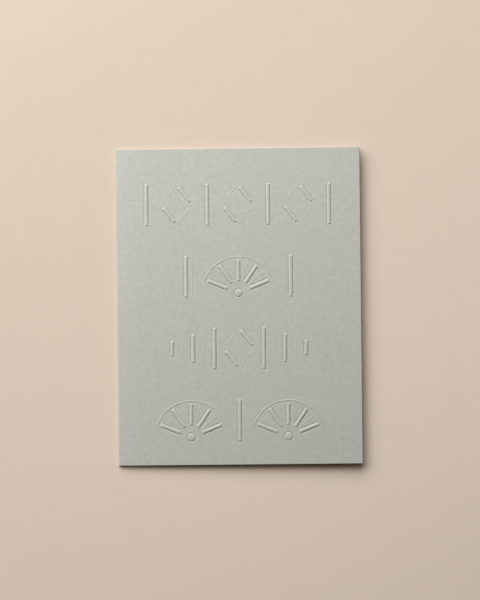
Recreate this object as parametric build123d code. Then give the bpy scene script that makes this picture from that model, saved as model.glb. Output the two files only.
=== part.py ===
from build123d import *
from functools import cache
import math
import os

# Greeting card: one sheet of heavy paper, folded once down its left side, with a blind-embossed
# front. It lies closed on its back panel. The front panel springs out of the fold, bends back over
# a short way and then runs flat to the open edge, a little above the back.
# X runs from the fold to the open edge, Y to the top edge, Z up. The origin is under the middle.
# Sizes are in millimetres and angles in degrees.

# The sheet
card_width = 107.95
card_height = 139.70
sheet_thickness = 0.50
fold_inner_radius = 0.25
spring_angle = 5.0
spring_length = 11.0
open_angle = 1.0

# The relief: rods are the broad strokes, and hairlines and rims the fine ones
rod_width = 1.60
rod_rise = 0.35
rod_recess = 0.25
hairline_width = 0.65
hairline_rise = 0.08
hairline_recess = 0.05
rim_rise = 0.15
rim_recess = 0.10
recess_wall = 0.12
flank_slope = 50.0

# The four bands of ornament, with each one's margin from the card's sides
band_height = 18.0
top_margin = 15.7
bottom_margin = 10.6
frieze_margin = 12.8
single_fan_margin = 30.0
stepped_margin = 23.5
twin_fan_margin = 17.0

# The lozenges
lozenge_width = 13.5
corner_gap = 1.7
frieze_lozenges = 3

# The fans
fan_rods = 5
rod_spread = 34.0
pearl_radius = 1.7
pearl_gap = 3.6
hairline_setback = 2.4
rim_gap = 1.1
rim_overhang = 4.0
side_hairline_gap = 2.6

# The stepped bars
side_bars = 5
shortest_bar = 6.4
first_bar_gap = 3.4

fold_outer_radius = fold_inner_radius + sheet_thickness
panel_length = card_width - fold_outer_radius
flat_length = panel_length - spring_length
spring_sweep = spring_angle - open_angle
spring_radius = spring_length / math.radians(spring_sweep)


# The folded sheet


def folded_sheet():
    # the sheet, and the upper edge of its open side
    with BuildSketch(Plane.XZ) as section:
        with BuildLine():
            back = Line((card_width / 2, 0), (card_width / 2 - panel_length, 0))
            fold = JernArc(back @ 1, back % 1, fold_outer_radius, spring_angle - 180)
            spring = JernArc(fold @ 1, fold % 1, spring_radius, -spring_sweep)
            front = PolarLine(spring @ 1, flat_length, open_angle)
            edge = PolarLine(front @ 1, sheet_thickness, open_angle - 90)
            inner_front = PolarLine(edge @ 1, flat_length, open_angle + 180)
            inner_spring = JernArc(
                inner_front @ 1, inner_front % 1, spring_radius - sheet_thickness, spring_sweep
            )
            inner_fold = JernArc(inner_spring @ 1, inner_spring % 1, fold_inner_radius, 180 - spring_angle)
            inner_back = Line(inner_fold @ 1, (card_width / 2, sheet_thickness))
            Line(inner_back @ 1, back @ 0)
        make_face()
    open_edge = Plane.XZ.from_local_coords(front @ 1)
    return extrude(section.sketch, card_height / 2, both=True), open_edge


def front_face(open_edge):
    # the flat outer face of the front panel, with its middle half a card's width in from the open edge
    tilt = math.radians(open_angle)
    along = Vector(math.cos(tilt), 0, math.sin(tilt))
    outward = Vector(-math.sin(tilt), 0, math.cos(tilt))
    return Plane(origin=open_edge - along * (card_width / 2), x_dir=along, z_dir=outward)


# The crowns: each stands on the plane Z = 0, with a root that reaches half a sheet below it

root = sheet_thickness / 2


def arch_section(width, rise):
    # the low arch of a rod
    with BuildSketch() as section:
        with BuildLine():
            ThreePointArc((-width / 2, 0), (0, rise), (width / 2, 0))
            Polyline((width / 2, 0), (width / 2, -root), (-width / 2, -root), (-width / 2, 0))
        make_face()
    return section.sketch


def ridge_section(width, rise):
    # the flat top and sloped flanks of a hairline, and of any stroke seen from its side
    foot = width / 2
    crest = foot - min(rise / math.tan(math.radians(flank_slope)), foot / 2)
    corners = [(-foot, -root), (foot, -root), (foot, 0), (crest, rise), (-crest, rise), (-foot, 0)]
    return make_face(Polyline(*corners, close=True))


@cache
def straight_crown(section, length, width, rise):
    # a stroke along X, with sloped ends
    across = extrude(Plane.YZ * section(width, rise), length / 2, both=True)
    return across & extrude(Plane.XZ * ridge_section(length, rise), width / 2, both=True)


@cache
def curved_crown(section, radius, sweep, width, rise):
    # a stroke bent round the origin, with its middle on +Y
    across = Plane.XZ * Pos(radius, 0) * section(width, rise)
    return revolve(Rot(0, 0, 90 - sweep / 2) * across, Axis.Z, sweep)


@cache
def round_crown(radius, rise):
    # a round dome
    ball_radius = (radius**2 + rise**2) / (2 * rise)
    ball = Pos(0, 0, rise - ball_radius) * Sphere(ball_radius)
    return ball & Pos(0, 0, (rise - root) / 2) * Cylinder(radius, rise + root)


# The strokes: each is a crown on the outer face, with a narrower and lower one hollowed out behind it

rod = (arch_section, rod_width, rod_rise, rod_recess)
hairline = (ridge_section, hairline_width, hairline_rise, hairline_recess)
rim = (ridge_section, hairline_width, rim_rise, rim_recess)
raised = []
hollowed = []


def emboss(place, crown, hollow):
    raised.append(place * crown)
    hollowed.append(place * hollow)


def line(start, end, weight, gap=0.0):
    # a straight stroke between two points, stopped short of both by the gap
    section, width, rise, recess = weight
    start, end = Vector(*start), Vector(*end)
    middle = (start + end) / 2
    span = end - start
    length = span.length - 2 * gap
    crown = straight_crown(section, length, width, rise)
    hollow = straight_crown(section, length - 2 * recess_wall, width - 2 * recess_wall, recess)
    emboss(Pos(middle.X, middle.Y) * Rot(0, 0, math.degrees(math.atan2(span.Y, span.X))), crown, hollow)


def bar(x, y, height, weight):
    line((x, y - height / 2), (x, y + height / 2), weight)


def arc(x, y, radius, sweep, weight):
    section, width, rise, recess = weight
    crown = curved_crown(section, radius, sweep, width, rise)
    hollow = curved_crown(section, radius, sweep, width - 2 * recess_wall, recess)
    emboss(Pos(x, y), crown, hollow)


def pearl(x, y):
    emboss(Pos(x, y), round_crown(pearl_radius, rod_rise), round_crown(pearl_radius - recess_wall, rod_recess))


# The motifs


def lozenge(x, y):
    # broad on its falling sides and fine on its rising ones, open at the four corners
    top = (x, y + band_height / 2)
    right = (x + lozenge_width / 2, y)
    bottom = (x, y - band_height / 2)
    left = (x - lozenge_width / 2, y)
    line(top, right, rod, corner_gap)
    line(left, bottom, rod, corner_gap)
    line(left, top, hairline, corner_gap)
    line(bottom, right, hairline, corner_gap)


fan_radius = band_height - pearl_radius
fan_half_sweep = rod_spread * (fan_rods - 1) / 2
fan_reach = fan_radius * math.sin(math.radians(min(fan_half_sweep + rim_overhang, 90)))


def fan(x, y):
    # rods that spread from a pearl, with hairlines between them, under a fine rim
    foot_y = y - band_height / 2 + pearl_radius
    tip = fan_radius - hairline_width - rim_gap
    for ray in range(2 * fan_rods - 1):
        weight = hairline if ray % 2 else rod
        heel = pearl_radius + pearl_gap + (hairline_setback if ray % 2 else 0)
        angle = math.radians(90 + fan_half_sweep - ray * rod_spread / 2)
        across, up = math.cos(angle), math.sin(angle)
        line((x + heel * across, foot_y + heel * up), (x + tip * across, foot_y + tip * up), weight)
    arc(x, foot_y, fan_radius - hairline_width / 2, 2 * (fan_half_sweep + rim_overhang), rim)
    pearl(x, foot_y)


# The bands


def frieze_band(y):
    # lozenges in a row, with a bar at each end and between them
    half_pitch = (card_width - 2 * frieze_margin - rod_width) / (2 * frieze_lozenges)
    for place in range(2 * frieze_lozenges + 1):
        x = (place - frieze_lozenges) * half_pitch
        if place % 2:
            lozenge(x, y)
        else:
            bar(x, y, band_height, rod)


def single_fan_band(y):
    # one fan between two bars, each with a hairline on its inner side
    fan(0, y)
    bar_x = card_width / 2 - single_fan_margin - rod_width / 2
    for side in (-1, 1):
        bar(side * bar_x, y, band_height, rod)
        bar(side * (bar_x - side_hairline_gap), y, band_height, hairline)


def stepped_band(y):
    # a lozenge between bars that shorten outwards, by turns broad and fine
    lozenge(0, y)
    first = (lozenge_width + rod_width) / 2 + first_bar_gap
    last = card_width / 2 - stepped_margin - rod_width / 2
    for step in range(side_bars):
        share = step / (side_bars - 1)
        height = band_height + (shortest_bar - band_height) * share
        for side in (-1, 1):
            bar(side * (first + (last - first) * share), y, height, hairline if step % 2 else rod)


def twin_fan_band(y):
    # two fans with a bar between them
    bar(0, y, band_height, rod)
    for side in (-1, 1):
        fan(side * (card_width / 2 - twin_fan_margin - fan_reach), y)


# The card: the bands are spaced evenly between the top and bottom margins

bands = (frieze_band, single_fan_band, stepped_band, twin_fan_band)
top_band_y = card_height / 2 - top_margin - band_height / 2
bottom_band_y = bottom_margin + band_height / 2 - card_height / 2
for row, band in enumerate(bands):
    band(top_band_y + (bottom_band_y - top_band_y) * row / (len(bands) - 1))

card, open_edge = folded_sheet()
outer_face = front_face(open_edge)
inner_face = outer_face.offset(-sheet_thickness)
card = card + [outer_face * crown for crown in raised]
card = card - [inner_face * hollow for hollow in hollowed]

os.makedirs("parts", exist_ok=True)
export_step(card, "parts/card.step")
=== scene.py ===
import math

import bmesh
import bpy
from mathutils import Matrix, Vector


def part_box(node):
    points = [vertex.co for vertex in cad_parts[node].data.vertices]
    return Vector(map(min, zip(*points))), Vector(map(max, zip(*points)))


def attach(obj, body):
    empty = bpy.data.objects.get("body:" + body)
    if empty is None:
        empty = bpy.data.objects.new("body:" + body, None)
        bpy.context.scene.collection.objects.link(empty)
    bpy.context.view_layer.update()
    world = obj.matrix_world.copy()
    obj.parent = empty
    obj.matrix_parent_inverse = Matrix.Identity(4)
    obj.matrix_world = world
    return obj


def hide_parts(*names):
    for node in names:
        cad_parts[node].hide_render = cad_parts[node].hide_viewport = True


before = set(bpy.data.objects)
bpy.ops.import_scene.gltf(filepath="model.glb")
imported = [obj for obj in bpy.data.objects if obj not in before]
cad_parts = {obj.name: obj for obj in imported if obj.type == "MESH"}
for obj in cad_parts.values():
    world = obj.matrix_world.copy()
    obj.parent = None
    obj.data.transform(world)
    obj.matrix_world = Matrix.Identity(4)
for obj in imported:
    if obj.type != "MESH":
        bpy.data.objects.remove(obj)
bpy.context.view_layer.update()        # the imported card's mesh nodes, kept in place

cardLow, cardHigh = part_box("card")
print("Frame loaded")


# The sheet, in millimetres and degrees
sheet = {
    "width": 1000 * (cardHigh.x - cardLow.x),
    "height": 1000 * (cardHigh.y - cardLow.y),
    "thickness": 0.50,
    "foldInnerRadius": 0.25,
    "springAngle": 5.0,          # how steeply the front leaves the fold
    "springLength": 11.0,        # the way over which it bends back
    "openAngle": 1.0,
    "foldSteps": 32,
    "springSteps": 12,
    "cutRounding": 0.05,         # the slight rounding that the guillotine leaves
}
foldRadius = sheet["foldInnerRadius"] + sheet["thickness"]
panelLength = sheet["width"] - foldRadius
springSweep = math.radians(sheet["springAngle"] - sheet["openAngle"])
springRadius = sheet["springLength"] / springSweep
flatStart = foldRadius + sheet["springLength"] - sheet["width"] / 2       # where the front is flat from

# The card is built with its front level, and then turned about the fold until its back is level
opened = math.radians(sheet["openAngle"])
frontAlong = Vector((math.cos(opened), 0, math.sin(opened)))
frontOut = Vector((-math.sin(opened), 0, math.cos(opened)))
springCentre = Vector((flatStart, 0, -springRadius))
inward = Vector((-math.sin(springSweep), 0, math.cos(springSweep))) * (springRadius - foldRadius)
foldCentre = springCentre + inward
hinge = Vector((foldRadius - sheet["width"] / 2, 0, foldRadius))
frontHeight = frontOut.dot(hinge) - foldCentre.z

# How each stroke stands out of the paper, in millimetres: from a crease round its foot the paper
# climbs steeply to a shoulder and then rounds off to the crown. The overlap is how far the crease
# reaches out past the foot, and the rings are the steps in which a stroke is drawn up.
relief = {
    "rod": {
        "width": 1.60, "rise": 0.275, "recess": 0.20, "fullness": 1.9,
        "shoulder": 0.09, "endShoulder": 0.19, "climb": 0.30,
        "creaseWidth": 0.39, "creaseDepth": 0.205, "overlap": 0.19, "rings": 10, "cornerRings": 6,
    },
    "hairline": {
        "width": 0.65, "rise": 0.07, "recess": 0.05, "fullness": 2.0,
        "shoulder": 0.02, "climb": 0.07,
        "creaseWidth": 0.20, "creaseDepth": 0.01, "overlap": 0.0, "rings": 4, "cornerRings": 3,
    },
    "rim": {
        "width": 0.65, "rise": 0.15, "recess": 0.10, "fullness": 2.0,
        "shoulder": 0.05, "climb": 0.07,
        "creaseWidth": 0.20, "creaseDepth": 0.02, "overlap": 0.0, "rings": 4, "cornerRings": 3,
    },
    "pearl": {
        "width": 3.40, "rise": 0.275, "recess": 0.20, "fullness": 1.9,
        "shoulder": 0.09, "climb": 0.30,
        "creaseWidth": 0.39, "creaseDepth": 0.205, "overlap": 0.19, "rings": 18, "cornerRings": 0,
    },
    "crest": 0.12,               # the last flat strip along a crown
    "collar": 0.10,              # flat paper kept round each crease
    "recessWall": 0.12,          # how much narrower the hollow behind a stroke is, on each side
    "creaseRings": 4,
    "endRelease": 0.9,           # how far a rod's ends take their own shape
    "releaseFrom": 1.0,          # where that begins and is complete, inward from the foot of the end
    "releaseTo": -0.3,
    "releaseCuts": (0.45, 0.85), # extra corners along a rod's sides there
    "cornerMerge": 0.12,         # corner points closer than this share of the corner's radius become one
    "plateMargins": (0.12, 0.12),
    "cornerSegments": 6,
    "rimSegments": 56,
    "pearlSegments": 48,
}

# Where the strokes stand, in millimetres from the middle of the front and in degrees
ornament = {
    "bandHeight": 18.0, "topMargin": 15.7, "bottomMargin": 10.6,
    "friezeMargin": 12.8, "singleFanMargin": 30.0, "steppedMargin": 23.5, "twinFanMargin": 17.0,
    "lozengeWidth": 13.5, "cornerGap": 1.7, "friezeLozenges": 3,
    "fanRods": 5, "rodSpread": 34.0, "pearlGap": 3.6, "hairlineSetback": 2.4,
    "rimGap": 1.1, "rimOverhang": 4.0, "sideHairlineGap": 2.6,
    "sideBars": 5, "shortestBar": 6.4, "firstBarGap": 3.4,
}
bandHeight = ornament["bandHeight"]
rodWidth = relief["rod"]["width"]
hairlineWidth = relief["hairline"]["width"]
pearlRadius = relief["pearl"]["width"] / 2
strokes = []                     # every stroke of the front, as its maker and what that needs


# Strokes: each maker leaves one flat face, grown past the stroke's foot


def growth(kind, hollow):
    # how far the outline lies outside the stroke's foot
    if hollow:
        return -relief["recessWall"]
    return relief[kind]["overlap"] + relief[kind]["creaseWidth"] + relief["collar"]


def reach(kind, hollow):
    # how far the climb and the crown go inward, from the deepest line of the crease
    start = -relief["recessWall"] if hollow else relief[kind]["overlap"]
    return (relief[kind]["width"] - relief["crest"]) / 2 + start


def cornerRadius(kind, hollow):
    share = relief[kind]["cornerRings"] / relief[kind]["rings"]
    skirt = 0 if hollow else relief[kind]["creaseWidth"] + relief["collar"]
    return skirt + reach(kind, hollow) * share


def easeStep(share):
    share = min(max(share, 0), 1)
    return share * share * (3 - 2 * share)


def roundCorners(bm, corners, kind, hollow):
    rounded = bmesh.ops.bevel(bm, geom=corners, offset=cornerRadius(kind, hollow), offset_type="OFFSET",
                              segments=relief["cornerSegments"], profile=0.5, affect="VERTICES", material=-1)
    return rounded["verts"][0].link_faces[0]


def releaseEnds(bm, outline, middle, along, halfLength):
    # cuts near the ends of both long sides, and how far the crease lets go at each point of the outline
    for edge in sorted(outline.edges, key=lambda edge: edge.calc_length())[-2:]:
        vert, length, reached = edge.verts[0], edge.calc_length(), 0.0
        cuts = relief["releaseCuts"]
        for cut in (*cuts, *(length - cut for cut in reversed(cuts))):
            vert = bmesh.utils.edge_split(edge, vert, (cut - reached) / (length - reached))[1]
            reached = cut
    release = bm.verts.layers.float["release"]
    for vert in outline.verts:
        inward = halfLength - abs((vert.co.xy - middle).dot(along))
        span = relief["releaseFrom"] - relief["releaseTo"]
        vert[release] = relief["endRelease"] * easeStep((relief["releaseFrom"] - inward) / span)


def makeLine(bm, kind, hollow, start, end, gap):
    grow = growth(kind, hollow)
    middle = (Vector(start) + Vector(end)) / 2
    span = Vector(end) - Vector(start)
    length = span.length - 2 * gap + 2 * grow
    width = relief[kind]["width"] + 2 * grow
    place = Matrix.Translation(middle.to_3d()) @ Matrix.Rotation(math.atan2(span.y, span.x), 4, "Z")
    made = bmesh.ops.create_grid(bm, x_segments=1, y_segments=1, size=0.5,
                                 matrix=place @ Matrix.Diagonal((length, width, 1, 1)))
    outline = roundCorners(bm, made["verts"], kind, hollow)
    if kind == "rod" and not hollow:
        releaseEnds(bm, outline, middle, span.normalized(), span.length / 2 - gap)


def makeRim(bm, kind, hollow, centre, radius, sweep):
    grow = growth(kind, hollow)
    half = relief[kind]["width"] / 2 + grow
    overrun = math.degrees(grow / radius)
    turn = Matrix.Rotation(math.radians(90 - sweep / 2 - overrun), 4, "Z")
    hub = Vector(centre).to_3d()
    ends = [bm.verts.new(hub + turn @ Vector((radius + side * half, 0, 0))) for side in (-1, 1)]
    edge = bm.edges.new(ends)
    before = set(bm.faces)
    bmesh.ops.spin(bm, geom=ends + [edge], cent=hub, axis=(0, 0, 1),
                   angle=math.radians(sweep + 2 * overrun), steps=relief["rimSegments"], use_merge=False)
    strip = [face for face in bm.faces if face not in before]
    arc = bmesh.ops.dissolve_faces(bm, faces=strip, use_verts=False)["region"][0]
    corners = [loop.vert for loop in arc.loops if loop.calc_angle() < math.radians(120)]
    roundCorners(bm, corners, kind, hollow)


def makePearl(bm, kind, hollow, centre):
    bmesh.ops.create_circle(bm, cap_ends=True, segments=relief["pearlSegments"],
                            radius=relief[kind]["width"] / 2 + growth(kind, hollow),
                            matrix=Matrix.Translation(Vector(centre).to_3d()))


# Motifs


def line(kind, start, end, gap=0.0):
    strokes.append((makeLine, kind, (start, end, gap)))


def bar(kind, x, y, height):
    line(kind, (x, y - height / 2), (x, y + height / 2))


def lozenge(x, y):
    top, bottom = (x, y + bandHeight / 2), (x, y - bandHeight / 2)
    left, right = (x - ornament["lozengeWidth"] / 2, y), (x + ornament["lozengeWidth"] / 2, y)
    line("rod", top, right, ornament["cornerGap"])
    line("rod", left, bottom, ornament["cornerGap"])
    line("hairline", left, top, ornament["cornerGap"])
    line("hairline", bottom, right, ornament["cornerGap"])


fanRadius = bandHeight - pearlRadius
fanHalfSweep = ornament["rodSpread"] * (ornament["fanRods"] - 1) / 2
fanReach = fanRadius * math.sin(math.radians(min(fanHalfSweep + ornament["rimOverhang"], 90)))


def fan(x, y):
    foot = Vector((x, y - bandHeight / 2 + pearlRadius))
    tip = fanRadius - hairlineWidth - ornament["rimGap"]
    for ray in range(2 * ornament["fanRods"] - 1):
        kind = "hairline" if ray % 2 else "rod"
        heel = pearlRadius + ornament["pearlGap"] + (ornament["hairlineSetback"] if ray % 2 else 0)
        angle = math.radians(90 + fanHalfSweep - ray * ornament["rodSpread"] / 2)
        outward = Vector((math.cos(angle), math.sin(angle)))
        line(kind, foot + heel * outward, foot + tip * outward)
    sweep = 2 * (fanHalfSweep + ornament["rimOverhang"])
    strokes.append((makeRim, "rim", (foot, fanRadius - hairlineWidth / 2, sweep)))
    strokes.append((makePearl, "pearl", (foot,)))


# Bands


def friezeBand(y):
    halfPitch = (sheet["width"] - 2 * ornament["friezeMargin"] - rodWidth) / (2 * ornament["friezeLozenges"])
    for place in range(2 * ornament["friezeLozenges"] + 1):
        x = (place - ornament["friezeLozenges"]) * halfPitch
        if place % 2:
            lozenge(x, y)
        else:
            bar("rod", x, y, bandHeight)


def singleFanBand(y):
    fan(0, y)
    barX = sheet["width"] / 2 - ornament["singleFanMargin"] - rodWidth / 2
    for side in (-1, 1):
        bar("rod", side * barX, y, bandHeight)
        bar("hairline", side * (barX - ornament["sideHairlineGap"]), y, bandHeight)


def steppedBand(y):
    lozenge(0, y)
    first = (ornament["lozengeWidth"] + rodWidth) / 2 + ornament["firstBarGap"]
    last = sheet["width"] / 2 - ornament["steppedMargin"] - rodWidth / 2
    for step in range(ornament["sideBars"]):
        share = step / (ornament["sideBars"] - 1)
        height = bandHeight + (ornament["shortestBar"] - bandHeight) * share
        for side in (-1, 1):
            bar("hairline" if step % 2 else "rod", side * (first + (last - first) * share), y, height)


def twinFanBand(y):
    bar("rod", 0, y, bandHeight)
    for side in (-1, 1):
        fan(side * (sheet["width"] / 2 - ornament["twinFanMargin"] - fanReach), y)


bands = (friezeBand, singleFanBand, steppedBand, twinFanBand)
topBandY = sheet["height"] / 2 - ornament["topMargin"] - bandHeight / 2
bottomBandY = ornament["bottomMargin"] + bandHeight / 2 - sheet["height"] / 2
for row, band in enumerate(bands):
    band(topBandY + (bottomBandY - topBandY) * row / (len(bands) - 1))
print("Ornament laid out:", len(strokes), "strokes")


# The card


def reliefRings(kind, hollow):
    # each ring from the outline to the crest: its distance inward, its height, and how much higher it
    # stands at a rod's ends, where the crease lets go and the climb is steeper
    stroke = relief[kind]
    swell = stroke.get("endShoulder", stroke["shoulder"]) - stroke["shoulder"]
    rings = []
    foot, top, climb, depth = 0.0, stroke["recess"], 0.0, 0.0
    if not hollow:
        top, climb, depth = stroke["rise"], stroke["climb"], stroke["creaseDepth"]
        rings.append((relief["collar"], 0.0, 0.0))
        for ring in range(1, relief["creaseRings"] + 1):
            share = ring / relief["creaseRings"]
            sunk = depth * share**2
            rings.append((relief["collar"] + stroke["creaseWidth"] * share, -sunk, sunk))
        foot = rings[-1][0]
    for ring in range(1, stroke["rings"] + 1):
        inward = reach(kind, hollow) * ring / stroke["rings"]
        if inward < climb:
            sunk = depth * (1 - inward / climb)
            height = stroke["shoulder"] * inward / climb - sunk
            lift = sunk + swell * inward / climb
        else:
            share = (inward - climb) / (reach(kind, hollow) - climb)
            toCrown = (1 - share) ** stroke["fullness"]
            height = top - (top - stroke["shoulder"]) * toCrown
            lift = swell * toCrown
        rings.append((foot + inward, height, lift))
    return rings


def pointsOf(parts):
    # each point once, in the order met, so that every run joins the same ones
    return list(dict.fromkeys(vert for part in parts for vert in part.verts))


def embossedSkin(hollow):
    # one side of the front panel: a plate with every stroke pushed up out of it
    bm = bmesh.new()
    atEnds = bm.verts.layers.float.new("atEnds")
    release = bm.verts.layers.float.new("release")
    strokeFaces = {}
    for maker, kind, placing in strokes:
        before = set(bm.faces)
        maker(bm, kind, hollow, *placing)
        strokeFaces.setdefault(kind, []).extend(face for face in bm.faces if face not in before)
    bm.normal_update()
    for face in bm.faces:
        if face.normal.z < 0:
            face.normal_flip()
    strokeEdges = list(bm.edges)
    left, right = flatStart, sheet["width"] / 2
    place = Matrix.Translation(((left + right) / 2, 0, 0))
    place @= Matrix.Diagonal((right - left, sheet["height"], 1, 1))
    grid = bmesh.ops.create_grid(bm, x_segments=1, y_segments=1, size=0.5, matrix=place)
    plate = grid["verts"][0].link_faces[0]
    for margin in relief["plateMargins"]:
        bmesh.ops.inset_individual(bm, faces=[plate], thickness=margin, use_even_offset=True)
    plateEdges = list(plate.edges)
    bmesh.ops.delete(bm, geom=[plate], context="FACES_ONLY")
    bmesh.ops.triangle_fill(bm, use_beauty=True, edges=plateEdges + strokeEdges, normal=(0, 0, 1))
    for kind, faces in strokeFaces.items():
        reached, height = 0.0, 0.0
        cornerRing = len(reliefRings(kind, hollow)) - relief[kind]["rings"] + relief[kind]["cornerRings"]
        for ring, (distance, level, lift) in enumerate(reliefRings(kind, hollow), 1):
            bmesh.ops.inset_individual(bm, faces=faces, thickness=distance - reached,
                                       depth=level - height, use_even_offset=True)
            reached, height = distance, level
            tops = pointsOf(faces)
            for vert in tops:
                vert[atEnds] = lift
            if ring == cornerRing:
                merge = relief["cornerMerge"] * cornerRadius(kind, hollow)
                bmesh.ops.remove_doubles(bm, verts=tops, dist=merge)
                faces = [face for face in bm.faces
                         if all(abs(vert.co.z - level) < 1e-4 for vert in face.verts)]
    for vert in bm.verts:
        vert.co.z += vert[atEnds] * vert[release]
    return bm


def makeCard():
    bm = embossedSkin(False)
    inside = embossedSkin(True)
    bmesh.ops.translate(inside, verts=inside.verts, vec=(0, 0, -sheet["thickness"]))
    insideMesh = bpy.data.meshes.new("inside")
    inside.to_mesh(insideMesh)
    inside.free()
    bm.from_mesh(insideMesh)
    bpy.data.meshes.remove(insideMesh)

    # the cut sides of the front, then the sprung strip and the fold in place of its left one, then the back
    rims = [edge for edge in bm.edges if edge.is_boundary]
    walls = bmesh.ops.bridge_loops(bm, edges=rims)["faces"]
    foldSide = min(walls, key=lambda face: face.calc_center_median().x)
    seam = list(foldSide.edges)
    bmesh.ops.delete(bm, geom=[foldSide], context="FACES_ONLY")
    bends = ((springCentre, springSweep, sheet["springSteps"]),
             (foldCentre, math.radians(180 - sheet["springAngle"]), sheet["foldSteps"]))
    for centre, angle, steps in bends:
        turned = bmesh.ops.spin(bm, geom=seam + pointsOf(seam), cent=centre, axis=(0, -1, 0), angle=angle,
                                steps=steps, use_merge=False)["geom_last"]
        seam = [item for item in turned if isinstance(item, bmesh.types.BMEdge)]
    pulled = bmesh.ops.extrude_edge_only(bm, edges=seam)["geom"]
    away = Vector((math.cos(opened), 0, -math.sin(opened))) * panelLength
    openEnd = [item for item in pulled if isinstance(item, bmesh.types.BMVert)]
    bmesh.ops.translate(bm, verts=openEnd, vec=away)
    bmesh.ops.contextual_create(bm, geom=[item for item in pulled if isinstance(item, bmesh.types.BMEdge)])
    bmesh.ops.recalc_face_normals(bm, faces=bm.faces)

    # laid on its back
    turn = Matrix.Rotation(-opened, 4, "Y")
    bm.transform(Matrix.Translation(hinge) @ turn @ Matrix.Translation(-foldCentre))

    # cut edges: their own finish and a slight rounding
    bm.normal_update()
    for face in bm.faces:
        across = abs(face.normal.x) > 0.9 and face.calc_center_median().x > 0
        if abs(face.normal.y) > 0.9 or across:
            face.material_index = 1
    cut = [edge for edge in bm.edges if any(face.material_index for face in edge.link_faces)
           and edge.calc_face_angle() > math.radians(60)]
    rounded = bmesh.ops.bevel(bm, geom=cut, offset=sheet["cutRounding"], offset_type="OFFSET", segments=2,
                              profile=0.5, affect="EDGES", material=-1, clamp_overlap=True)["faces"]
    for edge in {edge for face in rounded for edge in face.edges}:
        edge.smooth = all(face in rounded for face in edge.link_faces)

    # the flats keep their own normals, and only the fold, the relief and the roundings are smooth
    bm.normal_update()
    flats = (Vector((0, 0, 1)), Vector((0, 1, 0)), Vector((1, 0, 0)), frontAlong, frontOut)
    for face in bm.faces:
        face.smooth = not any(abs(face.normal.dot(flat)) > 0.999999 for flat in flats)
    bmesh.ops.scale(bm, verts=bm.verts, vec=(0.001, 0.001, 0.001))
    mesh = bpy.data.meshes.new("embossedCard")
    bm.to_mesh(mesh)
    bm.free()
    return mesh


cardMesh = makeCard()
card = bpy.data.objects.new("embossedCard", cardMesh)
bpy.context.collection.objects.link(card)
shading = card.modifiers.new("evenShading", "WEIGHTED_NORMAL")        # long faces hold their own slope
shading.mode = "FACE_AREA"
shading.keep_sharp = True
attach(card, "root")
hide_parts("card")
print("Card folded:", len(cardMesh.polygons), "faces")


# Finishes: lengths in millimetres, colours linear

paper = {
    "colour": (0.514, 0.521, 0.477),
    "mottle": 0.12,              # how far the tone wanders either way
    "mottleSize": 1.6,
    "warmth": 0.02,              # how far the hue wanders between warm and cool
    "grainSize": 0.28,
    "fibreLength": 3.0,
    "fibreTone": 0.035,
    "bump": 0.02,
    "roughness": 0.60,
    "edgePaintedHighlight": 0.05,            # painted highlight along the cut edges
    "edgePaintedHighlightWidth": 0.35,
    # painted highlight along the fold
    "foldPaintedHighlight": 0.03,
    "crownPaintedHighlight": 0.05,           # painted highlight along the crowns,
    "crownFrom": 0.07,           # over this range of heights above the front
    "crownTo": 0.23,
    "creaseShade": 0.06,         # and painted shade in the creases
    "creaseFrom": 0.02,
    "creaseTo": 0.16,
}
cutEdge = {
    "colour": (0.57, 0.572, 0.53),
    "layerSize": 0.07,
    "layerStretch": (0.12, 0.12, 1.0),
    "layerTone": 0.10,
    "bump": 0.02,
    "roughness": 0.92,
}
floorLook = {
    "colour": (0.795, 0.662, 0.543),
    "paintedShade": 0.374,             # painted shade: how much darker it is towards the light, against the near lamp's falloff, and how far out that ends
    "paintedShadeAzimuth": 126.7,
    "paintedShadeReach": 200.0,
    "mottle": 0.012,
    "mottleSize": 9.0,
    "grainSize": 0.6,
    "bump": 0.01,
    "roughness": 0.9,
    "fadeFrom": 190.0,           # where it starts to fade into the backdrop, and where it is gone
    "fadeTo": 640.0,
    "halfWidth": 2000.0,
    "drop": 0.02,                # kept clear of the card's back
}


def addNode(tree, kind, inputs=(), **settings):
    node = tree.nodes.new(kind)
    for name, value in settings.items():
        setattr(node, name, value)
    for socket, value in dict(inputs).items():
        if isinstance(value, bpy.types.NodeSocket):
            tree.links.new(value, node.inputs[socket])
        else:
            node.inputs[socket].default_value = value
    return node


def maths(tree, operation, first, second=0.0, clamp=False):
    return addNode(tree, "ShaderNodeMath", {0: first, 1: second},
                   operation=operation, use_clamp=clamp).outputs[0]


def vectorMaths(tree, operation, first, second, output="Vector"):
    return addNode(tree, "ShaderNodeVectorMath", {0: first, 1: second}, operation=operation).outputs[output]


def weightedSum(tree, *parts):
    total = 0.0
    for value, weight in parts:
        total = maths(tree, "ADD", total, maths(tree, "MULTIPLY", value, weight))
    return total


def noise(tree, vector, scale, detail=2.0, roughness=0.5, distortion=0.0):
    return addNode(tree, "ShaderNodeTexNoise", {
        "Vector": vector, "Scale": scale, "Detail": detail, "Roughness": roughness, "Distortion": distortion,
    }).outputs["Fac"]


# The grain that every surface here shares: scales relative to its own sizes, and the share of each part
felt = {
    "streakStretch": ((0.35, 1.6, 1.0), (1.6, 0.35, 1.0)),
    "streakScale": 1.6,
    "driftScale": 0.4,
    "cloudTone": 1.2, "streakTone": 0.65, "grainTone": 0.5,
    "grainHeight": 0.7, "streakHeight": 0.35, "fibreHeight": 0.2,
    "fibreSharpness": 110.0,
    "gateScale": 1.7,            # a second field lets only pieces of the fibres through
    "gateFrom": 0.56,
    "gateSharpness": 14.0,
}


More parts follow.
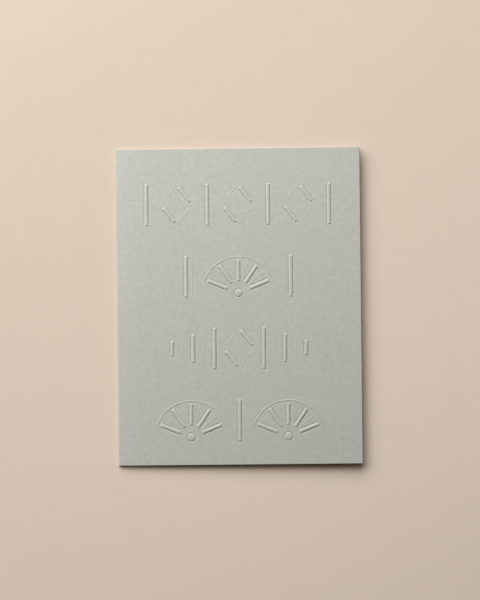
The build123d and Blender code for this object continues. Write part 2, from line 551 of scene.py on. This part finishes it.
def makeFeltGrain():
    # uncoated stock: a cloudy mottle, short felt streaks both ways, a fine grain and stray fibres
    group = bpy.data.node_groups.new("feltGrain", "ShaderNodeTree")
    for name, value in (("Mottle Size", 1.6), ("Grain Size", 0.28), ("Fibre Length", 3.0)):
        socket = group.interface.new_socket(name, in_out="INPUT", socket_type="NodeSocketFloat")
        socket.default_value = value
    group.interface.new_socket("Vector", in_out="INPUT", socket_type="NodeSocketVector")
    for name in ("Tone", "Warmth", "Fibres", "Height"):
        group.interface.new_socket(name, in_out="OUTPUT", socket_type="NodeSocketFloat")
    given = addNode(group, "NodeGroupInput").outputs
    place = given["Vector"]

    clouds = noise(group, place, maths(group, "DIVIDE", 1.0, given["Mottle Size"]), 4.0, 0.62)
    drift = noise(group, place, maths(group, "DIVIDE", felt["driftScale"], given["Mottle Size"]), 3.0, 0.6)
    streaks = []
    for stretch in felt["streakStretch"]:
        drawn = vectorMaths(group, "MULTIPLY", place, stretch)
        scale = maths(group, "DIVIDE", felt["streakScale"], given["Mottle Size"])
        streaks.append(noise(group, drawn, scale, 3.0, 0.6))
    streakSum = maths(group, "ADD", streaks[0], streaks[1])
    grain = noise(group, place, maths(group, "DIVIDE", 1.0, given["Grain Size"]), 3.0, 0.65)

    # fibres: the thin contour lines of a wavy field, broken up by a second one
    fibres = 0.0
    for turn in (0.0, 1.9):
        shifted = vectorMaths(group, "ADD", place, (17 * turn, 5 * turn, 3 * turn))
        field = noise(group, shifted, maths(group, "DIVIDE", 1.0, given["Fibre Length"]), 2.0, 0.7, 0.6)
        ridge = maths(group, "ABSOLUTE", maths(group, "SUBTRACT", field, 0.5))
        sharp = maths(group, "MULTIPLY", ridge, felt["fibreSharpness"])
        thread = maths(group, "SUBTRACT", 1.0, sharp, clamp=True)
        gate = noise(group, shifted, maths(group, "DIVIDE", felt["gateScale"], given["Fibre Length"]), 0.0)
        gate = maths(group, "SUBTRACT", gate, felt["gateFrom"])
        piece = maths(group, "MULTIPLY", gate, felt["gateSharpness"], clamp=True)
        fibres = maths(group, "ADD", fibres, maths(group, "MULTIPLY", thread, piece), clamp=True)

    tone = weightedSum(group, (clouds, felt["cloudTone"]), (streakSum, felt["streakTone"]),
                       (grain, felt["grainTone"]))
    middle = felt["cloudTone"] / 2 + felt["streakTone"] + felt["grainTone"] / 2
    height = weightedSum(group, (grain, felt["grainHeight"]), (streakSum, felt["streakHeight"]),
                         (fibres, felt["fibreHeight"]))
    addNode(group, "NodeGroupOutput", {
        "Tone": maths(group, "SUBTRACT", tone, middle), "Warmth": maths(group, "SUBTRACT", drift, 0.5),
        "Fibres": fibres, "Height": height,
    })
    return group


feltGrain = makeFeltGrain()


def startMaterial(name, roughness):
    material = bpy.data.materials.new(name)
    material.use_nodes = True
    tree = material.node_tree
    tree.nodes.clear()
    shader = addNode(tree, "ShaderNodeBsdfPrincipled", {"Roughness": roughness})
    addNode(tree, "ShaderNodeOutputMaterial", {"Surface": shader.outputs[0]})
    place = addNode(tree, "ShaderNodeTexCoord").outputs["Object"]
    millimetres = vectorMaths(tree, "MULTIPLY", place, (1000.0, 1000.0, 1000.0))
    return material, tree, shader, millimetres


def addGrain(tree, place, look):
    return addNode(tree, "ShaderNodeGroup", {
        "Vector": place, "Mottle Size": look["mottleSize"], "Grain Size": look["grainSize"],
        "Fibre Length": look.get("fibreLength", 3.0),
    }, node_tree=feltGrain).outputs


def eased(tree, value, low, high, atLow, atHigh):
    # a smooth step from one value to another
    return addNode(tree, "ShaderNodeMapRange", {
        "Value": value, "From Min": low, "From Max": high, "To Min": atLow, "To Max": atHigh,
    }, interpolation_type="SMOOTHSTEP").outputs[0]


def tinted(tree, colour, factor, warmth=0.0):
    # the colour made lighter or darker by a factor round 1, and warmer or cooler by a share round 0
    red = maths(tree, "MULTIPLY", factor, maths(tree, "ADD", 1.0, warmth))
    blue = maths(tree, "MULTIPLY", factor, maths(tree, "SUBTRACT", 1.0, warmth))
    tone = addNode(tree, "ShaderNodeCombineColor", {0: red, 1: factor, 2: blue}).outputs[0]
    mix = addNode(tree, "ShaderNodeMix", {"Factor": 1.0}, data_type="RGBA", blend_type="MULTIPLY")
    mix.inputs[6].default_value = (*colour, 1)
    tree.links.new(tone, mix.inputs[7])
    return mix.outputs[2]


def addBump(tree, shader, height, distance):
    bump = addNode(tree, "ShaderNodeBump", {"Height": height, "Distance": distance * 0.001, "Strength": 1.0})
    tree.links.new(bump.outputs[0], shader.inputs["Normal"])


def paperMaterial():
    material, tree, shader, place = startMaterial("warmGreyStock", paper["roughness"])
    grain = addGrain(tree, place, paper)
    factor = maths(tree, "ADD", 1.0, maths(tree, "MULTIPLY", grain["Tone"], paper["mottle"] * 2))
    factor = maths(tree, "SUBTRACT", factor, maths(tree, "MULTIPLY", grain["Fibres"], paper["fibreTone"]))

    # painted highlight along the cut edges and along the fold
    parts = addNode(tree, "ShaderNodeSeparateXYZ", {0: place}).outputs
    fromSide = maths(tree, "SUBTRACT", sheet["width"] / 2, parts["X"])
    fromEnd = maths(tree, "SUBTRACT", sheet["height"] / 2, maths(tree, "ABSOLUTE", parts["Y"]))
    inside = maths(tree, "MINIMUM", fromSide, fromEnd)
    edgeHighlightMask = maths(tree, "SUBTRACT", 1.0, maths(tree, "DIVIDE", inside, paper["edgePaintedHighlightWidth"]), clamp=True)
    fromFold = maths(tree, "ADD", parts["X"], sheet["width"] / 2)
    foldHighlightMask = maths(tree, "SUBTRACT", 1.0, maths(tree, "DIVIDE", fromFold, foldRadius), clamp=True)
    factor = maths(tree, "ADD", factor, maths(tree, "MULTIPLY", edgeHighlightMask, paper["edgePaintedHighlight"]))
    factor = maths(tree, "ADD", factor, maths(tree, "MULTIPLY", foldHighlightMask, paper["foldPaintedHighlight"]))

    # painted highlight along the crowns and painted shade in the creases of the front, by the height above
    # it
    height = vectorMaths(tree, "DOT_PRODUCT", place, frontOut, "Value")
    height = maths(tree, "SUBTRACT", height, frontHeight)
    crownHighlight = eased(tree, height, paper["crownFrom"], paper["crownTo"], 0.0, paper["crownPaintedHighlight"])
    paintedCreaseShade = eased(tree, height, -paper["creaseTo"], -paper["creaseFrom"], -paper["creaseShade"], 0.0)
    onFront = maths(tree, "MULTIPLY", maths(tree, "GREATER_THAN", height, -sheet["thickness"] / 2),
                    maths(tree, "GREATER_THAN", parts["X"], flatStart + 1))
    factor = maths(tree, "ADD", factor, crownHighlight)
    factor = maths(tree, "ADD", factor, maths(tree, "MULTIPLY", paintedCreaseShade, onFront))
    warmth = maths(tree, "MULTIPLY", grain["Warmth"], paper["warmth"] * 2)
    tree.links.new(tinted(tree, paper["colour"], factor, warmth), shader.inputs["Base Color"])
    addBump(tree, shader, grain["Height"], paper["bump"])
    return material


def cutEdgeMaterial():
    material, tree, shader, place = startMaterial("cutStock", cutEdge["roughness"])
    layered = vectorMaths(tree, "MULTIPLY", place, cutEdge["layerStretch"])
    layers = noise(tree, layered, 1 / cutEdge["layerSize"], 3.0, 0.7)
    grain = addGrain(tree, place, paper)
    factor = maths(tree, "ADD", 1.0, maths(tree, "MULTIPLY", maths(tree, "SUBTRACT", layers, 0.5),
                                           cutEdge["layerTone"] * 2))
    factor = maths(tree, "ADD", factor, maths(tree, "MULTIPLY", grain["Tone"], paper["mottle"]))
    tree.links.new(tinted(tree, cutEdge["colour"], factor), shader.inputs["Base Color"])
    addBump(tree, shader, layers, cutEdge["bump"])
    return material


cardMesh.materials.append(paperMaterial())
cardMesh.materials.append(cutEdgeMaterial())
print("Finishes made")


# Stage: a pale floor, one large soft light from the upper left, a dim sky, and the camera above

keyLight = {
    "azimuth": 120.0, "elevation": 40.0, "distance": 0.70, "across": 1.06, "tall": 0.58,
    "power": 9.0, "colour": (1.0, 1.0, 1.0),
}
sky = {"fill": (0.035, 0.028, 0.019), "backdrop": (0.79, 0.72, 0.65)}
view = {
    "lens": 135.0, "pixelsPerMillimetre": 2.265, "pictureHeight": 600,
    "aimX": 0.51, "aimY": 2.85, "turn": 0.63,
}


def floorMaterial():
    material, tree, shader, place = startMaterial("peachFloor", floorLook["roughness"])
    grain = addGrain(tree, place, floorLook)
    factor = maths(tree, "ADD", 1.0, maths(tree, "MULTIPLY", grain["Tone"], floorLook["mottle"] * 2))
    # painted shade: darker towards the light, evening out the near lamp's falloff over the floor
    azimuth = math.radians(floorLook["paintedShadeAzimuth"])
    heading = (math.cos(azimuth), math.sin(azimuth), 0)
    towards = vectorMaths(tree, "DOT_PRODUCT", place, heading, "Value")
    paintedShadeFactor = eased(tree, towards, -floorLook["paintedShadeReach"], floorLook["paintedShadeReach"],
                     1 + floorLook["paintedShade"] / 2, 1 - floorLook["paintedShade"] / 2)
    factor = maths(tree, "MULTIPLY", factor, paintedShadeFactor)
    tree.links.new(tinted(tree, floorLook["colour"], factor), shader.inputs["Base Color"])
    away = vectorMaths(tree, "DISTANCE", place, (0, 0, 0), "Value")
    faded = eased(tree, away, floorLook["fadeFrom"], floorLook["fadeTo"], 1.0, 0.0)
    tree.links.new(faded, shader.inputs["Alpha"])
    addBump(tree, shader, grain["Height"], floorLook["bump"])
    return material


def makeFloor():
    bm = bmesh.new()
    bmesh.ops.create_grid(bm, x_segments=1, y_segments=1, size=floorLook["halfWidth"] / 1000,
                          matrix=Matrix.Translation((0, 0, -floorLook["drop"] / 1000)))
    mesh = bpy.data.meshes.new("floor")
    bm.to_mesh(mesh)
    bm.free()
    mesh.materials.append(floorMaterial())
    floor = bpy.data.objects.new("floor", mesh)
    bpy.context.collection.objects.link(floor)


def makeKeyLight():
    data = bpy.data.lights.new("keyLight", "AREA")
    data.shape = "RECTANGLE"
    data.size = keyLight["across"]
    data.size_y = keyLight["tall"]
    data.energy = keyLight["power"]
    data.color = keyLight["colour"]
    azimuth, elevation = math.radians(keyLight["azimuth"]), math.radians(keyLight["elevation"])
    towards = Vector((math.cos(azimuth) * math.cos(elevation), math.sin(azimuth) * math.cos(elevation),
                      math.sin(elevation)))
    lamp = bpy.data.objects.new("keyLight", data)
    lamp.location = towards * keyLight["distance"]
    lamp.rotation_euler = towards.to_track_quat("Z", "Y").to_euler()
    lamp.visible_camera = False
    bpy.context.collection.objects.link(lamp)


def makeSky():
    world = bpy.data.worlds.new("sky")
    world.use_nodes = True
    tree = world.node_tree
    tree.nodes.clear()
    rays = addNode(tree, "ShaderNodeLightPath").outputs
    seen = maths(tree, "MAXIMUM", rays["Is Camera Ray"], rays["Is Glossy Ray"])
    seen = maths(tree, "MAXIMUM", seen, rays["Is Transmission Ray"])
    mix = addNode(tree, "ShaderNodeMix", {"Factor": seen}, data_type="RGBA")
    mix.inputs[6].default_value = (*sky["fill"], 1)
    mix.inputs[7].default_value = (*sky["backdrop"], 1)
    background = addNode(tree, "ShaderNodeBackground", {"Color": mix.outputs[2]})
    addNode(tree, "ShaderNodeOutputWorld", {"Surface": background.outputs[0]})
    bpy.context.scene.world = world


def makeCamera():
    data = bpy.data.cameras.new("camera")
    data.lens = view["lens"]
    data.sensor_width = 36.0
    span = view["pictureHeight"] / view["pixelsPerMillimetre"] / 1000
    distance = span * data.lens / data.sensor_width
    camera = bpy.data.objects.new("camera", data)
    camera.location = (view["aimX"] / 1000, view["aimY"] / 1000, cardHigh.z + distance)
    camera.rotation_euler = (0, 0, -math.radians(view["turn"]))
    bpy.context.collection.objects.link(camera)
    bpy.context.scene.camera = camera


makeFloor()
makeKeyLight()
makeSky()
makeCamera()
bpy.context.scene.view_settings.view_transform = "Standard"
print("Stage set")
